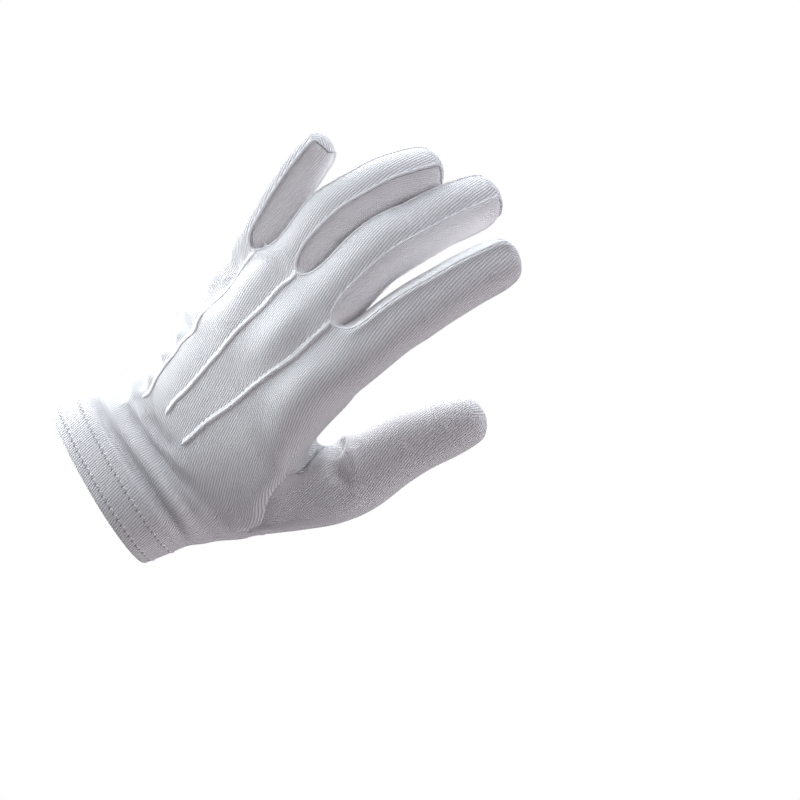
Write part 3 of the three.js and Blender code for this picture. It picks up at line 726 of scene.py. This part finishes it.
def cut_piece(name):
    """The faces of one piece, its cloth's coordinates, its seams and its outer shape."""
    mine = face_piece == PIECES.index(name)
    own = quads[mine]
    others = quads[~mine]
    inside = np.unique(own)
    # what lies across each seam point, and the direction away from the seam
    shared = np.zeros(len(points), int) - 1
    for i in range(4):
        shared[others[:, i]] = face_piece[~mine]
    seam = [v for v in inside if shared[v] >= 0]
    seam_kinds = {v: (name.split("_")[0], PIECES[shared[v]].split("_")[0]) for v in seam}
    away = unit(towards_faces(own)[seam])
    away -= unit(towards_faces(others)[seam])
    away -= normals[seam] * np.sum(away * normals[seam], axis=1, keepdims=True)
    away = dict(zip(seam, unit(away)))
    # edges stand proud or lie low and fade back into the surface
    shape = points.copy()
    seam_tree = KDTree(len(seam))
    for n, v in enumerate(seam):
        seam_tree.insert(points[v], n)
    seam_tree.balance()
    for v in inside:
        _, n, distance = seam_tree.find(points[v])
        rise = EDGE_RISE.get(seam_kinds[seam[n]], 0) * MM
        shape[v] += normals[v] * rise * np.exp(-(distance / EDGE_FADE) ** 2)
    fine = {v: EDGE_FINE.get(seam_kinds[v], 1.0) for v in seam}
    return own, cloth[mine], inside, away, fine, shape


LIP_ANGLES = (30, 60, 90, 120, 150)


def border_of(faces):
    """The edges that only one of the faces has."""
    edges = dict.fromkeys((a, b) for face in faces for a, b in zip(face, np.roll(face, -1)))
    return [(a, b) for a, b in edges if (b, a) not in edges]


def sheet(name, wall):
    """Vertices, faces and cloth coordinates of one piece as a closed sheet with a rounded edge."""
    own, own_cloth, inside, away, fine, shape = cut_piece(name)
    border = border_of(own)
    rim = sorted({v for edge in border for v in edge})
    inward = np.zeros_like(points)
    round_lip = np.zeros(len(points)) + LIP
    gap = np.zeros((len(points), 1))
    for v, direction in away.items():
        inward[v] = direction
        round_lip[v] = LIP * fine[v]
        gap[v] = SEAM_GAP / 2 * fine[v]
    open_rim = np.array([v not in away for v in rim])[:, None]
    for v in rim:
        if v not in away:
            inward[v] = (0, 0, 1)
            round_lip[v] = wall / 2
    index = np.zeros(len(points), int)
    index[inside] = np.arange(len(inside))
    outer = shape[inside] + inward[inside] * gap[inside]
    inner = points[inside] + inward[inside] * gap[inside] - normals[inside] * wall
    rounding = round_lip[rim][:, None]
    drawn = np.minimum(rounding, RIM_DRAWN)
    outer[index[rim]] += inward[rim] * drawn
    inner[index[rim]] += inward[rim] * np.where(open_rim, drawn, 0)
    coords = [outer, inner]
    total = len(inside) * 2
    # rounded lip: loops between the outer and the inner edge
    loops = [{v: index[v] for v in rim}]
    for angle in LIP_ANGLES:
        curve = 1 - sin(radians(angle))
        depth = 1 - cos(radians(angle))
        if angle > 90:
            curve = np.where(open_rim, curve, 0)
            depth = np.where(open_rim, depth, 1 + (wall / rounding - 1) * (angle - 90) / 90)
        coords.append(shape[rim] + inward[rim] * (gap[rim] + drawn * curve) - normals[rim] * rounding * depth)
        loops.append({v: total + n for n, v in enumerate(rim)})
        total += len(rim)
    loops.append({v: index[v] + len(inside) for v in rim})
    spot = dict(zip(own.ravel(), own_cloth.reshape(-1, 2)))
    rim_faces = []
    rim_uvs = []
    for a, b in border:
        for upper, lower in zip(loops, loops[1:]):
            rim_faces.append((upper[b], upper[a], lower[a], lower[b]))
            rim_uvs.append((spot[b], spot[a], spot[a], spot[b]))
    faces = np.concatenate([index[own], index[own][:, ::-1] + len(inside), rim_faces])
    uvs = np.concatenate([own_cloth, own_cloth[:, ::-1], rim_uvs])
    return np.concatenate(coords).tolist(), faces.tolist(), uvs


def sewn_piece(name, coords, faces, uvs, material, slot):
    """One piece, smooth shaded, that carries the cloth's coordinates."""
    mesh = bpy.data.meshes.new(name)
    mesh.from_pydata(coords, [], faces)
    mesh.uv_layers.new(name="cloth").data.foreach_set("uv", np.array(uvs).ravel())
    mesh.shade_smooth()
    mesh.materials.append(material)
    piece = add_object(name, mesh)
    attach(piece, "root")
    return piece


COTTON_SURFACE = {"Roughness": 0.95, "Specular IOR Level": 0.15, "Sheen Weight": 0.25, "Sheen Roughness": 0.6}
# scale, for each metre, and detail of the ribs' drift, the cotton's fibres and the mottling
DRIFT = (220.0, 1.0)
FIBRES = (3200.0, 2.0)
MOTTLING = (60.0, 3.0)
# how far the ribs drift, of a rib, and how much the stitches slant in their V
KNIT_DRIFT = 0.25
KNIT_SLANT = 1.1
# how high the ribs, the stitches on them and the fibres stand, of the knit's depth
KNIT_RIB = 0.65
KNIT_STITCH = 0.35
KNIT_FIBRE = 0.14
# painted shade in the knit's colour: how light it is in its grooves, and how much lighter it gets with the
# knit's height and with its own mottling, up to painted light on the ribs
SHADE_LEAST = 0.05
SHADE_HEIGHT = 0.85
SHADE_MOTTLE = 0.10
RIB_LIGHT = 1.09


def knit_material(name, colour, rib, course, depth, skew=0, painted_groove_shade=0.72):
    """Plain jersey: ribs of little V-shaped stitches, soft, matt and twisted, with painted shade between them.
    """
    material = bpy.data.materials.new(name)
    material.use_nodes = True
    tree = material.node_tree
    shader = tree.nodes["Principled BSDF"]
    for key, value in COTTON_SURFACE.items():
        shader.inputs[key].default_value = value

    def node(kind, inputs=(), **settings):
        made = tree.nodes.new(kind)
        for key, value in settings.items():
            setattr(made, key, value)
        for slot, value in enumerate(inputs):
            if isinstance(value, bpy.types.NodeSocket):
                tree.links.new(value, made.inputs[slot])
            else:
                made.inputs[slot].default_value = value
        return made

    def math(operation, *inputs):
        return node("ShaderNodeMath", inputs, operation=operation).outputs[0]

    place = node("ShaderNodeUVMap", uv_map="cloth").outputs[0]

    def uneven(scale, detail):
        made = node("ShaderNodeTexNoise", [place])
        made.inputs["Scale"].default_value = scale
        made.inputs["Detail"].default_value = detail
        return made.outputs[0]

    parts = node("ShaderNodeSeparateXYZ", [place])
    drift = math("MULTIPLY", uneven(*DRIFT), KNIT_DRIFT * rib)
    twisted = math("ADD", parts.outputs[0], math("MULTIPLY", parts.outputs[1], skew))
    across = math("DIVIDE", math("ADD", twisted, drift), rib)
    upward = math("DIVIDE", parts.outputs[1], course)
    side = math("ABSOLUTE", math("SUBTRACT", math("FRACT", across), 0.5))
    groove = math("SINE", math("MULTIPLY", math("FRACT", across), pi))
    slanted = math("ADD", upward, math("MULTIPLY", side, KNIT_SLANT))
    wave = math("COSINE", math("MULTIPLY", slanted, 2 * pi))
    stitch = math("ADD", math("MULTIPLY", wave, 0.5), 0.5)
    stitched = math("MULTIPLY", math("MULTIPLY", groove, stitch), KNIT_STITCH)
    height = math("ADD", math("MULTIPLY", groove, KNIT_RIB), stitched)
    height = math("ADD", height, math("MULTIPLY", uneven(*FIBRES), KNIT_FIBRE))
    bump = node("ShaderNodeBump", [1.0, depth])
    tree.links.new(height, bump.inputs["Height"])
    tree.links.new(bump.outputs[0], shader.inputs["Normal"])
    # painted shade and light: the base colour runs from dark in the grooves to light on the ribs, after the
    # knit's height, mixed with the cotton's own mottling
    mottle = math("MULTIPLY", uneven(*MOTTLING), SHADE_MOTTLE)
    shade = math("ADD", math("MULTIPLY", height, SHADE_HEIGHT), mottle)
    tint = node("ShaderNodeMix", data_type="RGBA")
    tree.links.new(math("ADD", shade, SHADE_LEAST), tint.inputs["Factor"])
    tint.inputs["A"].default_value = (*(c * painted_groove_shade for c in colour), 1)
    tint.inputs["B"].default_value = (*(min(1, c * RIB_LIGHT) for c in colour), 1)
    tree.links.new(tint.outputs["Result"], shader.inputs["Base Color"])
    return material


WHITE = (0.87, 0.87, 0.89)
# painted light: the gussets are the trank's own cotton, painted whiter and with less painted shade in their
# grooves so that they look brighter
GUSSET_PAINTED_LIGHT_WHITE = (0.95, 0.94, 0.97)
JERSEY_GAUGE = (1.04 * MM, 0.76 * MM, 0.27 * MM)
GUSSET_GAUGE = (0.85 * MM, 0.7 * MM, 0.20 * MM)
COTTON = knit_material("cotton_jersey", WHITE, *JERSEY_GAUGE, -0.3, 0.48)
THUMB_COTTON = knit_material("cotton_thumb", WHITE, *JERSEY_GAUGE, -0.5, 0.48)
GUSSET_PAINTED_LIGHT_COTTON = knit_material("cotton_gusset_painted_light", GUSSET_PAINTED_LIGHT_WHITE, *GUSSET_GAUGE, -0.2, 0.90)
SHEETS = [
    ("trank", WALL, COTTON, "cotton_knit"),
    ("thumb", WALL, THUMB_COTTON, "cotton_knit"),
    *((name, WALL, GUSSET_PAINTED_LIGHT_COTTON, "cotton_knit") for name in PIECES[3:]),
    ("hem", HEM_WALL, COTTON, "cotton_hem"),
]
for name, wall, cotton, slot in SHEETS:
    piece = sewn_piece(f"glove_{name}", *sheet(name, wall), cotton, slot)
    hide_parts(name)

# Tucks
# Three narrow tucks stand up from the back of the hand, one below each crotch. The jersey is pinched into a
# fold about 2 mm wide and stitched close, so it swells a little between the stitches.
TUCK_HALF = 1.20 * MM
TUCK_HEIGHTS = (0.95 * MM, 0.72 * MM, 0.50 * MM)
TUCK_STITCH = 2.6 * MM
TUCK_TAPERS = (1.2 * MM, 4.0 * MM)
TUCK_STEP = 0.5 * MM
TUCK_SMOOTH = 6
# how wide its ends are and how deep they dip, and its width between, at stitches and with uneven cloth
TUCK_END = 0.45
TUCK_DIP = 0.8
TUCK_PLAIN = 0.87
TUCK_PINCHED = 0.20
TUCK_UNEVEN = 0.26
TUCK_GRAIN = 1.3 * MM
TUCK_APART = 9.0
TUCK_UV_STEP = 0.45 * MM
# its section: across towards the little finger, of TUCK_HALF, and up, of its height
TUCK_SECTION = (
    (-0.78, 0.10), (-0.80, 0.45), (-0.66, 0.84), (-0.38, 1.00), (0.00, 0.95), (0.40, 0.70),
    (0.80, 0.36), (1.15, 0.00), (1.25, -0.40), (0.20, -0.60), (-0.76, -0.40),
)

# painted light: the tucks and the welts are the same jersey, painted whiter and with less painted shade in
# their grooves, so that their raised crests look bright
TUCK_COTTON_PAINTED_LIGHT = knit_material("cotton_tuck", (0.90, 0.90, 0.92), 0.9 * MM, 0.65 * MM, 0.16 * MM)
surface_tree = BVHTree.FromPolygons(points.tolist(), quads.tolist())


def seated(line, step):
    """The line in even steps on the finished surface, with the cloth's direction there."""
    lengths = marks_along(line)
    marks = np.linspace(0, lengths[-1], max(2, int(lengths[-1] / step)))
    even = np.column_stack([np.interp(marks, lengths, line[:, i]) for i in range(3)])
    found = [surface_tree.find_nearest(Vector(point))[:2] for point in even]
    places, upward = (smooth_line(np.array(vectors), TUCK_SMOOTH) for vectors in zip(*found))
    return marks, places, unit(upward)


def rounded_cord(rings, ring_uvs, endless=False):
    """Vertices, faces and cloth coordinates of a closed cord through rings of points."""
    sides = len(rings[0])
    coords = [tuple(point) for ring in rings for point in ring]
    faces = []
    uvs = []
    for r in range(len(rings) if endless else len(rings) - 1):
        after = (r + 1) % len(rings)
        near, far = ring_uvs[r], ring_uvs[r + 1]
        for k in range(sides):
            m = (k + 1) % sides
            faces.append((r * sides + m, r * sides + k, after * sides + k, after * sides + m))
            uvs += [near[k + 1], near[k], far[k], far[k + 1]]
    if not endless:
        for r, order in ((0, range(sides)), (len(rings) - 1, range(sides - 1, -1, -1))):
            faces.append([r * sides + k for k in order])
            uvs += [ring_uvs[r][k] for k in order]
    return coords, faces, uvs


for tuck_number, (name, path) in enumerate(TUCK_LINES.items()):
    marks, places, upward = seated(path_on_cloth("trank", path, points), TUCK_STEP)
    sideways = np.cross(unit(np.gradient(places, axis=0)), upward)
    rings = []
    ring_uvs = []
    height = TUCK_HEIGHTS[tuck_number]
    for mark, place, up, side in zip(marks, places, upward, sideways):
        edge = min(mark / TUCK_TAPERS[0], (marks[-1] - mark) / TUCK_TAPERS[1])
        size = TUCK_HALF * (TUCK_END + (1 - TUCK_END) * ease(edge))
        pinch = 0.5 - 0.5 * cos(2 * pi * mark / TUCK_STITCH)
        uneven = noise.noise(Vector((mark / TUCK_GRAIN, tuck_number * TUCK_APART, 0)))
        size *= TUCK_PLAIN + TUCK_PINCHED * pinch + TUCK_UNEVEN * uneven
        centre = place - up * height * TUCK_DIP * (1 - ease(edge))
        rise = up * size / TUCK_HALF * height
        rings.append([centre + side * size * x + rise * y for x, y in TUCK_SECTION])
        ring_uvs.append([(TUCK_UV_STEP * k, mark) for k in range(len(TUCK_SECTION) + 1)])
    tuck = sewn_piece(f"glove_{name}", *rounded_cord(rings, ring_uvs), TUCK_COTTON_PAINTED_LIGHT, "cotton_tuck")
    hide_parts(name)

# Welts
# Along the seam of each fourchette the trank's edge is turned in over its own allowance and stitched. That
# leaves a round welt about a millimetre wide, which runs up one finger, round the crotch and up the next.
WELT_HALF = 0.62 * MM
WELT_ASIDE = 0.55 * MM
WELT_RAISED = 0.16 * MM
WELT_STITCH = 1.9 * MM
WELT_SIDES = 10
WELT_PLAIN = 0.96
WELT_PINCHED = 0.06
WELT_THINNED = 0.45
WELT_SUNK = 0.30 * MM


def level_out(values, times):
    """Smooths values along an endless line."""
    for _ in range(times):
        values = (np.roll(values, 1, axis=0) + values * 2 + np.roll(values, -1, axis=0)) / 4
    return values


def angles_round(sides):
    """The angles of a cord's sides, with the first once more at the end."""
    return [2 * pi * k / sides for k in range(sides + 1)]


for name in PIECES[3:]:
    own, own_cloth, _, away, _, _ = cut_piece(name)
    follower = dict(border_of(own))
    seam = [min(follower)]
    while follower[seam[-1]] != seam[0]:
        seam.append(follower[seam[-1]])
    aside = level_out(np.array([away[v] for v in seam]), 2)
    up = unit(level_out(normals[seam], 2))
    # over the fingertips the seam runs across the ribs, and the welt is trimmed there
    along = dict(zip(own.ravel(), own_cloth[:, :, 1].ravel()))
    heights = np.array([along[v] for v in seam])
    steps = np.roll(points[seam], -1, axis=0) - np.roll(points[seam], 1, axis=0)
    steps = np.linalg.norm(steps, axis=1)
    level = np.abs(np.roll(heights, -1) - np.roll(heights, 1)) < steps * 0.5
    trimmed = level_out((level & (heights > SLEEVE + 2 * CROTCH_ROW)).astype(float), 1)
    line = level_out(points[seam], 1) - aside * WELT_ASIDE + up * WELT_RAISED
    line -= up * WELT_SUNK * trimmed[:, None]
    beside = np.cross(unit(np.roll(line, -1, axis=0) - np.roll(line, 1, axis=0)), up)
    marks = marks_along(np.vstack([line, line[:1]]))
    angles = angles_round(WELT_SIDES)
    rings = []
    for n, mark in enumerate(marks[:-1]):
        half = WELT_HALF * (WELT_PLAIN + WELT_PINCHED * cos(2 * pi * mark / WELT_STITCH))
        half *= 1 - WELT_THINNED * trimmed[n]
        rings.append([line[n] + half * (beside[n] * cos(a) + up[n] * sin(a)) for a in angles[:-1]])
    ring_uvs = [[(WELT_HALF * a, mark) for a in angles] for mark in marks]
    welt_name = name.replace("fourchette", "glove_welt")
    # the welts take the tucks' cotton, painted lighter
    sewn_piece(welt_name, *rounded_cord(rings, ring_uvs, endless=True), TUCK_COTTON_PAINTED_LIGHT, "cotton_knit")

# Hem stitches
# Two rows of cotton thread hold the turned-up hem, 4 and 12 mm above its edge. Each stitch lies slanting across
# its row and dips into the cloth at both ends. Beside it, a small dark patch of painted shade stands for the
# shade in its needle hole.
STITCH_ROWS = (0.036, 0.104)
STITCH_PITCH = 2.7 * MM
STITCH_LENGTH = 1.7 * MM
STITCH_HALF = 0.32 * MM
STITCH_SLANT = radians(24)
STITCH_SIDES = 8
STITCH_RINGS = 9
STITCH_ARCH = 0.40
STITCH_SUNK = 0.22
STITCH_THINNED = 0.3
STITCH_STEPS = 6
HOLE_HALF = 0.34 * MM
HOLE_STRETCH = 1.7
HOLE_ASIDE = 0.35 * MM
# the rings of a needle hole's patch of painted shade: width, of HOLE_HALF, and height over the cloth in
# millimetres
HOLE_RINGS = ((0.2, 0.07), (1.0, 0.03), (1.0, -0.3))
stitch_angles = angles_round(STITCH_SIDES)


def stitch_rings(place, up, lay):
    """One stitch: a short arched thread that dips in at both ends."""
    beside = np.cross(lay, up)
    rings = []
    ring_uvs = []
    for t in np.linspace(-1, 1, STITCH_RINGS):
        centre = place + lay * t * STITCH_LENGTH / 2 + up * ((1 - t ** 4) * STITCH_ARCH - STITCH_SUNK) * MM
        half = STITCH_HALF * (1 - STITCH_THINNED * t * t)
        rings.append([centre + beside * half * cos(a) + up * half * sin(a) for a in stitch_angles[:-1]])
        ring_uvs.append([(half * a, t * MM) for a in stitch_angles])
    return rings, ring_uvs


def hole_shade_rings(place, up, lay):
    """The painted shade of the needle hole beside a stitch: a small flat dark patch, longer across the row than
    along.
    """
    beside = np.cross(lay, up)
    rings = []
    ring_uvs = []
    for width, rise in HOLE_RINGS:
        half = HOLE_HALF * width
        centre = place + up * rise * MM
        wide = beside * half * HOLE_STRETCH
        rings.append([centre + wide * cos(a) - lay * half * sin(a) for a in stitch_angles[:-1]])
        ring_uvs.append([(half * a, 0) for a in stitch_angles])
    return rings, ring_uvs


def add_cord(parts, rings, ring_uvs):
    coords, faces, uvs = rounded_cord(rings, ring_uvs)
    parts[1] += [[v + len(parts[0]) for v in face] for face in faces]
    parts[0] += coords
    parts[2] += uvs


threads = [[], [], []]
hole_shades = [[], [], []]
for share in STITCH_ROWS:
    row = [(column, share) for column in np.linspace(0, COLUMNS, 2 * COLUMNS + 1)]
    _, places, upward = seated(path_on_cloth("trank", row, points), STITCH_PITCH / STITCH_STEPS)
    forward = unit(np.gradient(places, axis=0))
    first = STITCH_STEPS // 2
    chosen = slice(first, -first, STITCH_STEPS)
    for place, up, along in zip(places[chosen], upward[chosen], forward[chosen]):
        lay = along * cos(STITCH_SLANT) + np.cross(up, along) * sin(STITCH_SLANT)
        add_cord(threads, *stitch_rings(place, up, lay))
        add_cord(hole_shades, *hole_shade_rings(place + lay * (STITCH_LENGTH / 2 + HOLE_ASIDE), up, lay))
THREAD_GAUGE = (0.3 * MM, 0.5 * MM, 0.05 * MM)
THREAD = knit_material("cotton_thread", (0.88, 0.88, 0.90), *THREAD_GAUGE)
# painted shade: a dark grey stands in for the shade inside each needle hole
SHADE = knit_material("painted_hole_shade", (0.34, 0.33, 0.35), *THREAD_GAUGE)
sewn_piece("glove_hem_stitches", *threads, THREAD, "cotton_hem")
sewn_piece("glove_hem_painted_hole_shades", *hole_shades, SHADE, "cotton_hem")

# Floor and light
# A plain floor well below the glove, and a soft studio light all round. Floor and backdrop show as plain white.
# The brightest light comes from the little finger's side, a little from behind, and the side towards the camera
# stays in a soft cool shade.
FLOOR_DROP = 1.5
FLOOR_HALF = 8
FLOOR_GREY = (0.3, 0.3, 0.3, 1)
AMBIENT = (0.020, 0.016, 0.020, 1)


def white_to_camera(tree, real, white, output):
    """Shows plain white to the camera, while the light meets the real shader."""
    seen = tree.nodes.new("ShaderNodeLightPath")
    choice = tree.nodes.new("ShaderNodeMixShader")
    tree.links.new(seen.outputs["Is Camera Ray"], choice.inputs[0])
    tree.links.new(tree.nodes[real].outputs[0], choice.inputs[1])
    tree.links.new(white.outputs[0], choice.inputs[2])
    tree.links.new(choice.outputs[0], tree.nodes[output].inputs["Surface"])


floor_mesh = bpy.data.meshes.new("floor")
corners = [(x * FLOOR_HALF, y * FLOOR_HALF, -FLOOR_DROP) for x, y in ((-1, -1), (1, -1), (1, 1), (-1, 1))]
floor_mesh.from_pydata(corners, [], [(0, 1, 2, 3)])
floor = add_object("floor", floor_mesh)
paint = bpy.data.materials.new("floor_paint")
paint.use_nodes = True
paint.node_tree.nodes["Principled BSDF"].inputs["Base Color"].default_value = FLOOR_GREY
glow = paint.node_tree.nodes.new("ShaderNodeEmission")
white_to_camera(paint.node_tree, "Principled BSDF", glow, "Material Output")
floor_mesh.materials.append(paint)

world = bpy.data.worlds.new("studio")
world.use_nodes = True
backdrop = world.node_tree.nodes.new("ShaderNodeBackground")
backdrop.inputs["Color"].default_value = (1, 1, 1, 1)
world.node_tree.nodes["Background"].inputs["Color"].default_value = AMBIENT
white_to_camera(world.node_tree, "Background", backdrop, "World Output")
bpy.context.scene.world = world
bpy.context.scene.view_settings.view_transform = "Standard"

# each lamp: its name, degrees round the picture from its right over its top, degrees towards the camera,
# how bright white cloth facing it gets, and its colour
CLOTH_WHITE = 0.86
LAMP_AWAY = 1.0
LAMP_SIZE = 0.8
LIGHTS = [
    ("key", 180, -15, 0.74, (0.95, 1.00, 1.02)),
    ("high_left", 150, 0, 0.33, (0.97, 1.00, 1.02)),
    ("top", 120, 15, 0.50, (0.88, 1.00, 1.06)),
    ("rim", 135, -35, 1.50, (1.00, 1.00, 1.00)),
    ("behind_top", 90, -15, 0.68, (0.97, 1.00, 1.03)),
    ("low_left", 210, 0, 0.13, (1.00, 0.96, 1.00)),
    ("front", 30, 75, 0.205, (1.06, 0.93, 0.98)),
    ("right", 0, 45, 0.23, (0.94, 0.98, 1.06)),
    ("under", 275, -5, 0.11, (1.02, 0.97, 1.00)),
    ("far_low", 315, -20, 0.42, (1.05, 0.95, 1.00)),
    ("far_top", 45, -20, 0.38, (0.90, 0.97, 1.08)),
]
for name, around, near, tone, colour in LIGHTS:
    data = bpy.data.lights.new(name, "AREA")
    data.size = LAMP_SIZE
    data.color = [min(1.0, c / max(colour)) for c in colour]
    data.energy = tone * (pi * LAMP_AWAY) ** 2 / CLOTH_WHITE
    lamp = add_object(name, data)
    lamp.visible_camera = False
    turn = radians(around)
    rise = radians(near)
    direction = view_right * cos(turn) * cos(rise) + view_up * sin(turn) * cos(rise) + backward * sin(rise)
    lamp.location = LOOKS_AT + direction * LAMP_AWAY
    lamp.rotation_euler = direction.to_track_quat("Z", "Y").to_euler()
